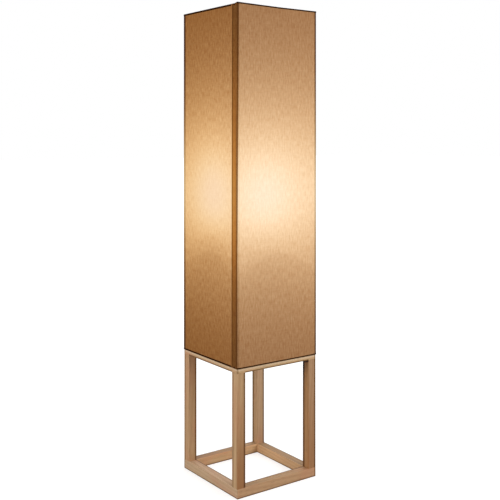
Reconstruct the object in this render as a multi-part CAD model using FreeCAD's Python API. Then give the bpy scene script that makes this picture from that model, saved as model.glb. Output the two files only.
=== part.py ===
import FreeCAD, Part
import math
import os

from FreeCAD import Vector

# An andon floor lamp. A tall square shade of cloth on a stiff liner drops over the top of an
# open cube frame of square wooden stock. One lamp stands on a stem in the middle of the shade.
# All sizes are millimetres. +Z is up and the origin is on the floor under the lamp's middle.
# The front is -Y, and the cloth's one seam is on the left side, -X, beside the front corner.

# Wooden base frame: two mitred square frames with a post between them at each corner
base_width = 250.0
stock = 24.0
post_length = 283.5
arris = 1.0

# Felt pads let into the corners' undersides
pad_radius = 9.0
pad_thickness = 2.0
pad_proud = 0.5
pad_fit = 0.1

# Countersunk wood screws that hold the posts, one through each frame corner
post_screw_head_radius = 4.0
post_screw_head_height = 3.5
post_screw_shank_radius = 2.0
post_screw_length = 45.0
post_screw_point = 5.0
screw_head_sink = 0.6
screw_fit = 0.1

# Dowels across the mitres
mitre_dowel_radius = 2.5
mitre_dowel_length = 24.0
mitre_dowel_fit = 0.08
mitre_dowel_share = 0.72

# Shade: cloth bonded to four liner panels, folded to a square tube and lapped at one corner
shade_height = 900.0
shade_overlap = 12.0
shade_slip = 0.3
liner_thickness = 0.5
liner_fold_gap = 0.8
cloth_thickness = 0.4
fold_radius = 1.5
seam_width = 23.0
seam_thickness = 0.3

# Binding rolled over the shade's two edges, and the wire square inside the upper one
binding_thickness = 0.4
top_binding_depth = 3.0
foot_binding_depth = 3.0
wire_radius = 1.5
wire_bend_radius = 6.0
binding_inner_depth = 4.2

# Mitred battens glued inside the shade, which stand on the base frame
batten_width = 12.0
batten_height = 12.0

# Steel bridge between the left and right top rails
bridge_width = 30.0
bridge_thickness = 2.0
bridge_tab_height = 18.0
bridge_bend_radius = 1.5
bridge_corner_radius = 4.0
bridge_screw_spacing = 16.0
bridge_screw_height_share = 0.45
bridge_screw_head_radius = 3.2
bridge_screw_head_height = 2.2
bridge_screw_crown_share = 0.7
bridge_screw_shank_radius = 1.6
bridge_screw_length = 14.0
bridge_screw_point = 3.0

# Threaded lamp pipe, its nut and washers, and the tube that covers it
pipe_radius = 4.8
pipe_bore_radius = 3.75
pipe_fit = 0.1
pipe_below_bridge = 14.0
pipe_into_cap = 7.0
nut_across_flats = 14.0
nut_thickness = 4.0
tooth_washer_radius = 8.5
tooth_washer_thickness = 1.0
tooth_count = 12
tooth_depth = 1.2
seat_radius = 14.0
seat_thickness = 2.0
spigot_height = 2.5
spigot_fit = 0.1
stem_radius = 8.0
stem_wall = 1.2
stem_length = 280.0
neck_ring_radius = 9.5
neck_ring_thickness = 2.0

# Bushing that the cord would pass through at the pipe's lower end
bushing_bore_radius = 3.0
bushing_fit = 0.05
bushing_sleeve_length = 8.0
bushing_flange_radius = 5.6
bushing_flange_thickness = 1.5
bushing_lip = 0.6

# Lampholder, all heights measured up from the foot of its cap
cap_hub_radius = 7.0
cap_hub_height = 7.0
cap_wall = 0.9
cap_skirt_radius = 16.4
cap_shoulder_share = 0.62
cap_shoulder_height = 13.0
cap_skirt_foot_height = 18.0
cap_height = 26.0
holder_fit = 0.1
holder_shell_foot = 20.0
holder_shell_height = 38.0
holder_shell_wall = 0.5
holder_bead = 0.9
holder_bead_height = 2.4
sleeve_wall = 0.6
sleeve_setback = 1.0
holder_body_foot = 12.0
holder_body_neck_radius = 9.0
holder_body_neck_height = 7.0
holder_body_head_height = 17.0
contact_radius = 3.2
contact_height = 2.0
contact_gap = 0.3
set_screw_radius = 1.5
set_screw_length = 4.5
set_screw_height = 3.5
terminal_screw_radius = 1.4
terminal_head_radius = 2.6
terminal_head_height = 1.4
terminal_screw_length = 5.0
terminal_screw_height = 21.5

# Turn key of the lampholder's switch
key_height = 31.0
key_shaft_radius = 2.0
key_shaft_fit = 0.08
key_shaft_depth = 9.0
key_shaft_reach = 6.0
key_slot_play = 1.0
key_length = 12.0
key_width = 13.0
key_thickness = 4.0
key_corner_radius = 3.0
key_bite = 4.0

# Lamp bulb with an Edison screw
thread_crest_radius = 13.0
thread_depth = 0.8
thread_pitch = 3.63
thread_turns = 4
thread_play = 0.3
thread_rise_share = 0.375
thread_fall_share = 0.625
screw_shell_wall = 0.4
bulb_tip_radius = 4.4
bulb_tip_height = 1.4
bulb_insulator_radius = 9.2
bulb_insulator_height = 3.0
bulb_cap_cone_height = 2.4
bulb_cap_collar_height = 2.6
bulb_housing_height = 27.0
bulb_housing_swell_share = 0.62
bulb_rim_radius = 27.0
bulb_globe_radius = 30.0
bulb_equator_height = 26.0
led_board_radius = 21.0
led_board_thickness = 1.6
led_count = 8
led_ring_share = 0.7
led_size = 2.8
led_thickness = 0.6
led_pocket_play = 0.4

# How far a cutting shape runs past what it cuts, and how near an edge lies to a place that
# picks it
overrun = 1.0
match = 0.05

# Heights and half widths that the pieces share
base_half = base_width / 2
inner_half = base_half - stock
frame_foot = pad_proud
post_foot = frame_foot + stock
post_head = post_foot + post_length
frame_top = post_head + stock
shade_foot = frame_top - shade_overlap
shade_top = shade_foot + shade_height
liner_inside = base_half + shade_slip
liner_outside = liner_inside + liner_thickness
cloth_outside = liner_outside + cloth_thickness
binding_outside = cloth_outside + binding_thickness
cap_foot = frame_top + seat_thickness + stem_length + neck_ring_thickness
holder_rim = cap_foot + holder_shell_foot + holder_shell_height
body_head = cap_foot + holder_body_foot + holder_body_neck_height + holder_body_head_height
bulb_foot = body_head + contact_height + contact_gap

SIDES = ("front", "right", "back", "left")
CORNERS = ("front_left", "front_right", "back_right", "back_left")
UP = Vector(0, 0, 1)


def box(x0, x1, y0, y1, z0, z1):
    return Part.makeBox(x1 - x0, y1 - y0, z1 - z0, Vector(x0, y0, z0))


def quarter_turned(shape, quarters):
    """A copy turned about the lamp's axis, from the front towards the right."""
    copy = shape.copy()
    copy.rotate(Vector(0, 0, 0), UP, 90 * quarters)
    return copy


def corner_point(quarters, inset):
    """The middle of a frame corner's stock, or a point at that inset, front left first."""
    point = Vector(-(base_half - inset), -(base_half - inset), 0)
    return FreeCAD.Rotation(UP, 90 * quarters).multVec(point)


def rounded_square(half, radius, z):
    """A flat square face about the axis with its corners rounded."""
    straight = half - radius
    mid = straight + radius * math.sqrt(0.5)
    edges = []
    for quarter in range(4):
        turn = FreeCAD.Rotation(UP, 90 * quarter)
        side = [turn.multVec(Vector(x, -half, z)) for x in (-straight, straight)]
        edges.append(Part.LineSegment(*side).toShape())
        bend = [
            turn.multVec(Vector(x, y, z))
            for x, y in ((straight, -half), (mid, -mid), (half, -straight))
        ]
        edges.append(Part.Arc(*bend).toShape())
    return Part.Face(Part.Wire(edges))


def square_prism(half, radius, z0, z1):
    return rounded_square(half, radius, z0).extrude(Vector(0, 0, z1 - z0))


def square_ring(outside, outside_radius, inside, inside_radius, z0, z1):
    """A square tube about the axis, with concentric or plain rounded corners."""
    hole = square_prism(inside, inside_radius, z0 - overrun, z1 + overrun)
    return square_prism(outside, outside_radius, z0, z1).cut(hole)


def revolved(edges):
    """A solid turned about the axis from edges in the XZ plane that close a profile."""
    return Part.Face(Part.Wire(edges)).revolve(Vector(0, 0, 0), UP, 360)


def polygon_edges(points):
    ends = [Vector(r, 0, z) for r, z in points]
    return [Part.makeLine(a, b) for a, b in zip(ends, ends[1:])]


def turned(points):
    """A solid turned about the axis from (radius, height) corners."""
    return revolved(polygon_edges(points + points[:1]))


def ring(outside, inside, z0, z1):
    return turned([(inside, z0), (outside, z0), (outside, z1), (inside, z1)])


def long_edges(shape, direction):
    """The straight edges of a shape that run along a direction."""
    found = []
    for edge in shape.Edges:
        if isinstance(edge.Curve, Part.Line):
            if abs(edge.tangentAt(edge.FirstParameter).dot(direction)) > 0.999:
                found.append(edge)
    return found


def edges_at(shape, x, z):
    """The straight edges along Y that pass a place in the XZ plane."""
    return [
        edge
        for edge in long_edges(shape, Vector(0, 1, 0))
        if math.hypot(abs(edge.CenterOfMass.x) - x, edge.CenterOfMass.z - z) < match
    ]


def wood_screw(head_radius, head_height, shank_radius, length, point, grown=0.0, sink=0.0):
    """A countersunk screw that points down from its head at the origin. Grown, it is its own
    hole, and the sink is the open well above the head."""
    outline = [(0, 0), (head_radius + grown, 0), (shank_radius + grown, -head_height)]
    if sink > 0:
        outline = [(0, sink), (head_radius + grown, sink)] + outline[1:]
    outline += [(shank_radius + grown, -length + point), (0, -length - grown)]
    return turned(outline)


def post_screw(grown=0.0, sink=0.0):
    return wood_screw(
        post_screw_head_radius,
        post_screw_head_height,
        post_screw_shank_radius,
        post_screw_length,
        post_screw_point,
        grown,
        sink,
    )


def at_corner(shape, quarters, z, upside_down):
    """A screw set on a corner's middle, pointing up from the foot or down from the top."""
    copy = shape.copy()
    if upside_down:
        copy.rotate(Vector(0, 0, 0), Vector(1, 0, 0), 180)
    copy.translate(corner_point(quarters, stock / 2) + Vector(0, 0, z))
    return copy


def foot_screw(quarters, grown=0.0, sink=0.0):
    return at_corner(post_screw(grown, sink), quarters, pad_thickness + screw_head_sink, True)


def head_screw(quarters, grown=0.0, sink=0.0):
    return at_corner(post_screw(grown, sink), quarters, frame_top - screw_head_sink, False)


def screw_holes(make_screw):
    return Part.makeCompound(
        [make_screw(quarter, screw_fit, screw_head_sink + overrun) for quarter in range(4)]
    )


def mitre_dowel(quarters, z, grown=0.0):
    """A dowel square across the mitre, on the inner side of the screw."""
    across = FreeCAD.Rotation(UP, 90 * quarters).multVec(Vector(1, -1, 0)).normalize()
    middle = corner_point(quarters, stock * mitre_dowel_share) + Vector(0, 0, z)
    length = mitre_dowel_length + 2 * grown
    start = middle - across * (length / 2)
    return Part.makeCylinder(mitre_dowel_radius + grown, length, start, across)


def frame_dowels(z0):
    return [mitre_dowel(quarter, z0 + stock / 2) for quarter in range(4)]


def front_rail(z0, make_screw):
    """The front rail of the lower or upper frame, with its mitres, eased edges and holes."""
    corners = [
        Vector(-base_half, -base_half, z0),
        Vector(base_half, -base_half, z0),
        Vector(inner_half, -inner_half, z0),
        Vector(-inner_half, -inner_half, z0),
    ]
    rail = Part.Face(Part.makePolygon(corners + corners[:1])).extrude(Vector(0, 0, stock))
    rail = rail.makeFillet(arris, long_edges(rail, Vector(1, 0, 0)))
    rail = rail.common(square_prism(base_half, arris, z0, z0 + stock))
    rail = rail.cut(screw_holes(make_screw))
    for quarter in range(2):
        rail = rail.cut(mitre_dowel(quarter, z0 + stock / 2, mitre_dowel_fit))
    return rail


def foot_pads(grown=0.0):
    """Four round pads on the floor. Grown, they are the seats that they are glued in."""
    pads = []
    for quarter in range(4):
        pads.append(Part.makeCylinder(pad_radius + grown, pad_thickness))
        pads[-1].translate(corner_point(quarter, stock / 2))
    return Part.makeCompound(pads)


def base_frame():
    parts = {}
    lower = front_rail(frame_foot, foot_screw).cut(foot_pads(pad_fit))
    upper = front_rail(post_head, head_screw)
    for quarter, side in enumerate(SIDES):
        parts["bottom_rail_" + side] = quarter_turned(lower, quarter)
        parts["top_rail_" + side] = quarter_turned(upper, quarter)
    for side in ("left", "right"):
        for _, hole in bridge_screws(screw_fit):
            parts["top_rail_" + side] = parts["top_rail_" + side].cut(hole)
    post = box(-base_half, -inner_half, -base_half, -inner_half, post_foot, post_head)
    post = post.makeFillet(arris, long_edges(post, UP))
    post = post.cut(screw_holes(foot_screw)).cut(screw_holes(head_screw))
    for quarter, corner in enumerate(CORNERS):
        parts["post_" + corner] = quarter_turned(post, quarter)
    parts["foot_pads"] = foot_pads()
    parts["bottom_mitre_dowels"] = Part.makeCompound(frame_dowels(frame_foot))
    parts["top_mitre_dowels"] = Part.makeCompound(frame_dowels(post_head))
    parts["bottom_post_screws"] = Part.makeCompound([foot_screw(q) for q in range(4)])
    parts["top_post_screws"] = Part.makeCompound([head_screw(q) for q in range(4)])
    return parts


def bridge_screws(grown=0.0):
    """Pan head screws through the bridge's tabs into the left and right top rails."""
    screws = []
    z = frame_top - bridge_tab_height * (1 - bridge_screw_height_share)
    shank = bridge_screw_shank_radius + grown
    end = -bridge_screw_length - grown
    pin = turned([(0, 0), (shank, 0), (shank, end + bridge_screw_point), (0, end)])
    head = turned(
        [
            (0, 0),
            (bridge_screw_head_radius, 0),
            (bridge_screw_head_radius * bridge_screw_crown_share, bridge_screw_head_height),
            (0, bridge_screw_head_height),
        ]
    )
    for side in (-1, 1):
        for row in (-1, 1):
            screw = pin.fuse(head).removeSplitter()
            screw.rotate(Vector(0, 0, 0), Vector(0, 1, 0), -90 * side)
            x = side * (inner_half - bridge_thickness)
            screw.translate(Vector(x, row * bridge_screw_spacing / 2, z))
            screws.append((side, screw))
    return screws


def lamp_bridge():
    """A strap bent down at both ends, with a round hole for the lamp pipe."""
    foot = frame_top - bridge_tab_height
    inside = inner_half - bridge_thickness
    under = frame_top - bridge_thickness
    half = bridge_width / 2
    strap = box(-inner_half, inner_half, -half, half, foot, frame_top)
    strap = strap.cut(box(-inside, inside, -half - overrun, half + overrun, foot - overrun, under))
    strap = strap.makeFillet(bridge_bend_radius, edges_at(strap, inside, under))
    outer_bend = bridge_bend_radius + bridge_thickness
    strap = strap.makeFillet(outer_bend, edges_at(strap, inner_half, frame_top))
    tab_corners = [
        edge
        for edge in long_edges(strap, Vector(1, 0, 0))
        if abs(edge.CenterOfMass.z - foot) < match
    ]
    strap = strap.makeFillet(bridge_corner_radius, tab_corners)
    hole = Part.makeCylinder(pipe_radius + pipe_fit, bridge_thickness + 2 * overrun)
    hole.translate(Vector(0, 0, under - overrun))
    strap = strap.cut(hole)
    for _, screw in bridge_screws(screw_fit):
        strap = strap.cut(screw)
    return strap


def hexagon_nut(z0, z1):
    circle = nut_across_flats / 2 / math.cos(math.radians(30))
    points = [
        Vector(circle * math.cos(math.radians(a)), circle * math.sin(math.radians(a)), z0)
        for a in range(0, 361, 60)
    ]
    nut = Part.Face(Part.makePolygon(points)).extrude(Vector(0, 0, z1 - z0))
    return nut.cut(ring(pipe_radius + pipe_fit, 0, z0 - overrun, z1 + overrun))


def tooth_washer(z0, z1):
    """A lock washer with square notches round its rim."""
    washer = ring(tooth_washer_radius, pipe_radius + pipe_fit, z0, z1)
    notch_half = math.pi * tooth_washer_radius / tooth_count / 2
    reach = tooth_washer_radius - tooth_depth
    notch = box(reach, reach + 2 * tooth_depth, -notch_half, notch_half, z0 - overrun, z1 + overrun)
    for tooth in range(tooth_count):
        cutter = notch.copy()
        cutter.rotate(Vector(0, 0, 0), UP, 360 * tooth / tooth_count)
        washer = washer.cut(cutter)
    return washer


def spigot_washer(radius, thickness, face, upwards):
    """A washer with a spigot that centres the stem tube, standing up or hanging down."""
    bore = pipe_radius + pipe_fit
    spigot = stem_radius - stem_wall - spigot_fit
    way = 1 if upwards else -1
    return turned(
        [
            (bore, face - way * thickness),
            (radius, face - way * thickness),
            (radius, face),
            (spigot, face),
            (spigot, face + way * spigot_height),
            (bore, face + way * spigot_height),
        ]
    )


def stem():
    under = frame_top - bridge_thickness
    washer_foot = under - tooth_washer_thickness
    nut_foot = washer_foot - nut_thickness
    pipe_foot = under - pipe_below_bridge
    stem_foot = frame_top + seat_thickness
    stem_head = stem_foot + stem_length
    sleeve = pipe_bore_radius - bushing_fit
    lip = bushing_bore_radius + bushing_lip
    flange_foot = pipe_foot - bushing_flange_thickness
    return {
        "lamp_bridge": lamp_bridge(),
        "bridge_screws": Part.makeCompound([screw for _, screw in bridge_screws()]),
        "lamp_pipe": ring(pipe_radius, pipe_bore_radius, pipe_foot, cap_foot + pipe_into_cap),
        "lock_nut": hexagon_nut(nut_foot, washer_foot),
        "tooth_washer": tooth_washer(washer_foot, under),
        "seat_washer": spigot_washer(seat_radius, seat_thickness, stem_foot, True),
        "stem_tube": ring(stem_radius, stem_radius - stem_wall, stem_foot, stem_head),
        "neck_ring": spigot_washer(neck_ring_radius, neck_ring_thickness, stem_head, False),
        "cord_bushing": turned(
            [
                (bushing_bore_radius, flange_foot),
                (bushing_flange_radius - bushing_lip, flange_foot),
                (bushing_flange_radius, flange_foot + bushing_lip),
                (bushing_flange_radius, pipe_foot),
                (sleeve, pipe_foot),
                (sleeve, pipe_foot + bushing_sleeve_length - bushing_lip),
                (lip, pipe_foot + bushing_sleeve_length),
                (bushing_bore_radius, pipe_foot + bushing_sleeve_length),
            ]
        ),
    }


def holder_cap():
    """The lampholder's lower cup: a threaded hub that flares to a skirt."""
    bore = pipe_radius + pipe_fit
    shoulder = cap_hub_radius + (cap_skirt_radius - cap_hub_radius) * cap_shoulder_share
    floor = cap_foot + cap_hub_height
    return turned(
        [
            (bore, cap_foot),
            (cap_hub_radius, cap_foot),
            (cap_hub_radius, floor),
            (shoulder, cap_foot + cap_shoulder_height),
            (cap_skirt_radius, cap_foot + cap_skirt_foot_height),
            (cap_skirt_radius, cap_foot + cap_height),
            (cap_skirt_radius - cap_wall, cap_foot + cap_height),
            (cap_skirt_radius - cap_wall, cap_foot + cap_skirt_foot_height + cap_wall),
            (shoulder - cap_wall, cap_foot + cap_shoulder_height + cap_wall),
            (cap_hub_radius - cap_wall, floor + cap_wall),
            (bore, floor + cap_wall),
        ]
    )


def key_slot(reach):
    """The notch for the switch's shaft, open at the foot of the wall that it cuts."""
    half = key_shaft_radius + key_slot_play
    head = cap_foot + key_height + half
    return box(0, reach, -half, half, cap_foot, head)


def holder_shell():
    outside = cap_skirt_radius - cap_wall - holder_fit
    inside = outside - holder_shell_wall
    foot = cap_foot + holder_shell_foot
    bead_foot = holder_rim - holder_bead_height
    shell = turned(
        [
            (inside, foot),
            (outside, foot),
            (outside, bead_foot),
            (outside + holder_bead, bead_foot + holder_bead),
            (outside + holder_bead, holder_rim - holder_bead / 2),
            (outside + holder_bead / 2, holder_rim),
            (inside, holder_rim),
        ]
    )
    return shell.cut(key_slot(cap_skirt_radius))


def sleeve_radius():
    """Outside of the fibre sleeve in the lampholder's shell."""
    return cap_skirt_radius - cap_wall - holder_shell_wall - 2 * holder_fit


def body_radius():
    """Outside of the moulded body in the fibre sleeve."""
    return sleeve_radius() - sleeve_wall - holder_fit


def key_shaft(grown=0.0):
    start = body_radius() - key_shaft_depth - grown
    end = cap_skirt_radius + key_shaft_reach
    foot = Vector(start, 0, cap_foot + key_height)
    return Part.makeCylinder(key_shaft_radius + grown, end - start, foot, Vector(1, 0, 0))


def set_screw():
    start = Vector(0, -pipe_radius - set_screw_length, cap_foot + set_screw_height)
    return Part.makeCylinder(set_screw_radius, set_screw_length, start, Vector(0, 1, 0))


def terminal_screws():
    """One screw each side of the moulded body, heads out."""
    screws = []
    seat = body_radius() - terminal_head_height - sleeve_wall
    z = cap_foot + terminal_screw_height
    for side in (-1, 1):
        way = Vector(0, side, 0)
        root = Vector(0, side * (seat - terminal_screw_length), z)
        pin = Part.makeCylinder(terminal_screw_radius, terminal_screw_length, root, way)
        head = Part.makeCylinder(
            terminal_head_radius, terminal_head_height, Vector(0, side * seat, z), way
        )
        screws.append((side, seat, pin.fuse(head).removeSplitter()))
    return screws


def holder_body():
    """The moulded body, flat on two sides for the terminals, with the shaft's bore."""
    foot = cap_foot + holder_body_foot
    step = foot + holder_body_neck_height
    radius = body_radius()
    body = turned(
        [
            (0, foot),
            (holder_body_neck_radius, foot),
            (holder_body_neck_radius, step),
            (radius, step),
            (radius, body_head),
            (0, body_head),
        ]
    )
    flat_head = cap_foot + terminal_screw_height + terminal_head_radius + holder_fit
    for side, seat, screw in terminal_screws():
        near, far = sorted((side * seat, side * (radius + overrun)))
        body = body.cut(box(-radius, radius, near, far, step - overrun, flat_head))
        body = body.cut(screw)
    return body.cut(key_shaft(key_shaft_fit))


def thread_outline(crest, foot):
    """Corners of a rolled screw thread, drawn as rings from the foot up."""
    root = crest - thread_depth
    points = [(root, foot)]
    for turn in range(thread_turns):
        start = foot + turn * thread_pitch
        points += [
            (crest, start + thread_pitch * thread_rise_share),
            (crest, start + thread_pitch * thread_fall_share),
            (root, start + thread_pitch),
        ]
    return points


def thread_foot():
    return bulb_foot + bulb_tip_height + bulb_insulator_height + bulb_cap_cone_height


def thread_head():
    return thread_foot() + thread_turns * thread_pitch


def screw_shell():
    """The holder's thin contact shell, with the bulb's thread rolled in it."""
    inner = thread_outline(thread_crest_radius + thread_play, thread_foot())
    outer = [(radius + screw_shell_wall, z) for radius, z in inner]
    return turned([(inner[0][0], body_head)] + inner + outer[::-1] + [(outer[0][0], body_head)])


def holder_sleeve():
    """The fibre tube that keeps the screw shell off the brass."""
    outside = sleeve_radius()
    foot = cap_foot + holder_shell_foot
    tube = ring(outside, outside - sleeve_wall, foot, holder_rim - sleeve_setback)
    return tube.cut(key_slot(cap_skirt_radius))


def lampholder():
    cap = holder_cap().cut(set_screw())
    return {
        "holder_cap": cap,
        "holder_set_screw": set_screw(),
        "holder_shell": holder_shell(),
        "holder_sleeve": holder_sleeve(),
        "holder_body": holder_body(),
        "holder_screw_shell": screw_shell(),
        "holder_contact": ring(contact_radius, 0, body_head, body_head + contact_height),
        "terminal_screws": Part.makeCompound([screw for _, _, screw in terminal_screws()]),
    }


def switch():
    """The shaft that turns in the moulded body and the flat key pressed on its end."""
    start = cap_skirt_radius + key_shaft_reach - key_bite
    half = key_width / 2
    z = cap_foot + key_height
    key = box(
        start, start + key_length, -half, half, z - key_thickness / 2, z + key_thickness / 2
    )
    key = key.makeFillet(key_corner_radius, long_edges(key, UP))
    return {"switch_shaft": key_shaft(), "switch_key": key.cut(key_shaft())}


def bulb():
    """A lamp bulb: screw cap, tapered housing, board of light chips and round globe."""
    insulator_foot = bulb_foot + bulb_tip_height
    cone_foot = insulator_foot + bulb_insulator_height
    wave = thread_outline(thread_crest_radius, thread_foot())
    collar_head = thread_head() + bulb_cap_collar_height
    root = wave[-1][0]
    rim = collar_head + bulb_housing_height
    equator = rim + bulb_equator_height
    cap = turned(
        [(0, cone_foot), (bulb_insulator_radius, cone_foot)]
        + wave
        + [(root, collar_head), (0, collar_head)]
    )
    swell = root + (bulb_rim_radius - root) * bulb_housing_swell_share
    flare = Part.Arc(
        Vector(root, 0, collar_head),
        Vector(swell, 0, collar_head + bulb_housing_height / 2),
        Vector(bulb_rim_radius, 0, rim),
    ).toShape()
    inner = polygon_edges([(bulb_rim_radius, rim), (0, rim), (0, collar_head), (root, collar_head)])
    housing = revolved([flare] + inner)
    board_head = rim + led_board_thickness
    board = ring(led_board_radius, 0, rim, board_head)
    for chip in range(led_count):
        angle = 2 * math.pi * chip / led_count
        x = led_board_radius * led_ring_share * math.cos(angle)
        y = led_board_radius * led_ring_share * math.sin(angle)
        half = led_size / 2
        lit = box(x - half, x + half, y - half, y + half, board_head, board_head + led_thickness)
        board = board.fuse(lit)
    return {
        "bulb_tip": ring(bulb_tip_radius, 0, bulb_foot, insulator_foot),
        "bulb_insulator": turned(
            [
                (0, insulator_foot),
                (bulb_tip_radius, insulator_foot),
                (bulb_insulator_radius, cone_foot),
                (0, cone_foot),
            ]
        ),
        "bulb_screw_cap": cap,
        "bulb_housing": housing,
        "bulb_led_board": board.removeSplitter(),
        "bulb_globe": bulb_globe(rim, equator),
    }


def bulb_globe(rim, equator):
    """The round diffuser: a half ball above its widest line and a gentle arc below it,
    with a pocket for the board."""
    fall = bulb_globe_radius - bulb_rim_radius
    sweep = (fall**2 + bulb_equator_height**2) / (2 * fall)
    half_fall = sweep - math.sqrt(sweep**2 - (bulb_equator_height / 2) ** 2)
    diagonal = bulb_globe_radius * math.sqrt(0.5)
    ball = Part.Arc(
        Vector(0, 0, equator + bulb_globe_radius),
        Vector(diagonal, 0, equator + diagonal),
        Vector(bulb_globe_radius, 0, equator),
    ).toShape()
    neck = Part.Arc(
        Vector(bulb_globe_radius, 0, equator),
        Vector(bulb_globe_radius - half_fall, 0, equator - bulb_equator_height / 2),
        Vector(bulb_rim_radius, 0, rim),
    ).toShape()
    closing = polygon_edges([(bulb_rim_radius, rim), (0, rim), (0, equator + bulb_globe_radius)])
    pocket_radius = led_board_radius + led_pocket_play
    pocket_height = led_board_thickness + led_thickness + led_pocket_play
    pocket = ring(pocket_radius, 0, rim - overrun, rim + pocket_height)
    return revolved([ball, neck] + closing).cut(pocket)


def shade_cloth():
    """The cloth tube with the lapped seam standing proud beside the front left corner."""
    foot = shade_foot + binding_thickness
    head = shade_top - binding_thickness
    inside_radius = fold_radius - cloth_thickness
    tube = square_ring(cloth_outside, fold_radius, liner_outside, inside_radius, foot, head)
    lap = box(
        -cloth_outside - seam_thickness,
        -cloth_outside + cloth_thickness / 2,
        -cloth_outside + fold_radius,
        -cloth_outside + seam_width,
        shade_foot + foot_binding_depth,
        shade_top - top_binding_depth,
    )
    return tube.fuse(lap).removeSplitter()


def front_liner():
    """A stiff panel that stops short of the folds, so that the cloth can turn there."""
    half = liner_inside - liner_fold_gap
    foot = shade_foot + binding_thickness
    return box(-half, half, -liner_outside, -liner_inside, foot, shade_top - binding_thickness)


def top_wire():
    """Round wire bent to a square and welded, held in the rolled top edge."""
    line = liner_inside - wire_radius
    z = shade_top - binding_thickness - wire_radius
    path = rounded_square(line, wire_bend_radius, z).OuterWire
    section = Part.Wire(Part.makeCircle(wire_radius, Vector(0, -line, z), Vector(1, 0, 0)))
    sweep = Part.BRepOffsetAPI.MakePipeShell(path)
    sweep.add(section)
    sweep.build()
    sweep.makeSolid()
    return sweep.shape()


def top_binding():
    """Cloth tape rolled over the liner's top edge and the wire."""
    outside_radius = fold_radius + binding_thickness
    inner = liner_inside - 2 * wire_radius
    inner_radius = wire_bend_radius - wire_radius
    roof = shade_top - binding_thickness
    hem = square_ring(
        binding_outside,
        outside_radius,
        inner - binding_thickness,
        inner_radius - binding_thickness,
        roof,
        shade_top,
    )
    outer_leg = square_ring(
        binding_outside,
        outside_radius,
        cloth_outside,
        fold_radius,
        shade_top - top_binding_depth,
        roof,
    )
    inner_leg = square_ring(
        inner,
        inner_radius,
        inner - binding_thickness,
        inner_radius - binding_thickness,
        shade_top - binding_inner_depth,
        roof,
    )
    return hem.fuse([outer_leg, inner_leg]).removeSplitter()


def foot_binding():
    """Cloth tape turned under the shade's lower edge, up to the liner's inner face."""
    outside_radius = fold_radius + binding_thickness
    inside_radius = fold_radius - cloth_thickness - liner_thickness
    floor = shade_foot + binding_thickness
    hem = square_ring(
        binding_outside, outside_radius, liner_inside, inside_radius, shade_foot, floor
    )
    leg = square_ring(
        binding_outside,
        outside_radius,
        cloth_outside,
        fold_radius,
        floor,
        shade_foot + foot_binding_depth,
    )
    return hem.fuse(leg).removeSplitter()


def front_batten():
    """A mitred strip whose outer corners follow the liner's inside fold."""
    inside = liner_inside - batten_width
    corners = [
        Vector(-liner_inside, -liner_inside, frame_top),
        Vector(liner_inside, -liner_inside, frame_top),
        Vector(inside, -inside, frame_top),
        Vector(-inside, -inside, frame_top),
    ]
    face = Part.Face(Part.makePolygon(corners + corners[:1]))
    batten = face.extrude(Vector(0, 0, batten_height))
    return batten.common(
        square_prism(liner_inside, fold_radius, frame_top, frame_top + batten_height)
    )


def shade():
    parts = {
        "shade_cloth": shade_cloth(),
        "shade_top_wire": top_wire(),
        "shade_top_binding": top_binding(),
        "shade_foot_binding": foot_binding(),
    }
    liner = front_liner()
    batten = front_batten()
    for quarter, side in enumerate(SIDES):
        parts["shade_liner_" + side] = quarter_turned(liner, quarter)
        parts["shade_batten_" + side] = quarter_turned(batten, quarter)
    return parts


def main():
    os.makedirs("parts", exist_ok=True)
    pieces = {}
    for group in (base_frame, stem, lampholder, switch, bulb, shade):
        pieces.update(group())
    for name, shape in pieces.items():
        shape.exportStep(os.path.join("parts", name + ".step"))
        print(name, len(shape.Solids), "valid" if shape.isValid() else "NOT VALID")


main()
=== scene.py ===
import math
import random

import bmesh
import bpy
from mathutils import Matrix, Vector, noise


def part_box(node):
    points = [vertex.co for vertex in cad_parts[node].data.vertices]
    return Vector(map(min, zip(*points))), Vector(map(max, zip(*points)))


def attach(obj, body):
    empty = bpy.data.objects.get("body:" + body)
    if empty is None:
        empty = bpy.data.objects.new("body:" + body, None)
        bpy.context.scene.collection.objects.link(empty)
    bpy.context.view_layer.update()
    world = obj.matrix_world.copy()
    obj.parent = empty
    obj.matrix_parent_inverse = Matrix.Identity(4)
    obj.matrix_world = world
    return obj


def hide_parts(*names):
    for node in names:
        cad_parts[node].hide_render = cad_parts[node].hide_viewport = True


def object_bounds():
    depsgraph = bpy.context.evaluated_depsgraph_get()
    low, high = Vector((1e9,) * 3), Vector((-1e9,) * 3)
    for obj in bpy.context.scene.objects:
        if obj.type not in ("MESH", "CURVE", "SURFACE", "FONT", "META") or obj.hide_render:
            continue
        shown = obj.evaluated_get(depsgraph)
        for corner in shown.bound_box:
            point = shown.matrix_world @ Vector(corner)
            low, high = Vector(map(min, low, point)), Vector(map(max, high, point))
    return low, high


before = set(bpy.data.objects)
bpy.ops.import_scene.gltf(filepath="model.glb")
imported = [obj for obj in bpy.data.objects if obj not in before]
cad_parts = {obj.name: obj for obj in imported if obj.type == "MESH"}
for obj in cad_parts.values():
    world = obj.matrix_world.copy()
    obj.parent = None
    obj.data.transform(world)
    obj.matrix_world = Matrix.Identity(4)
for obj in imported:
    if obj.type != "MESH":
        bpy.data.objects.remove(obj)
cad_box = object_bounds()


# Camera. It stands level in front of the lamp's left corner, a little under three quarters of
# its height, and the lens is shifted down so that the upright edges stay upright.
def new_object(name, data):
    """An object in the scene that holds this data."""
    item = bpy.data.objects.new(name, data)
    bpy.context.scene.collection.objects.link(item)
    return item


sensor_width = 36.0
lens_length = 61.477
lens_shift = (0.0002, -0.2250)
camera_place = Vector((-1.32406, -1.84260, 0.88894))
camera_level = math.radians(90)
camera_turn = math.radians(-35.754)

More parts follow.
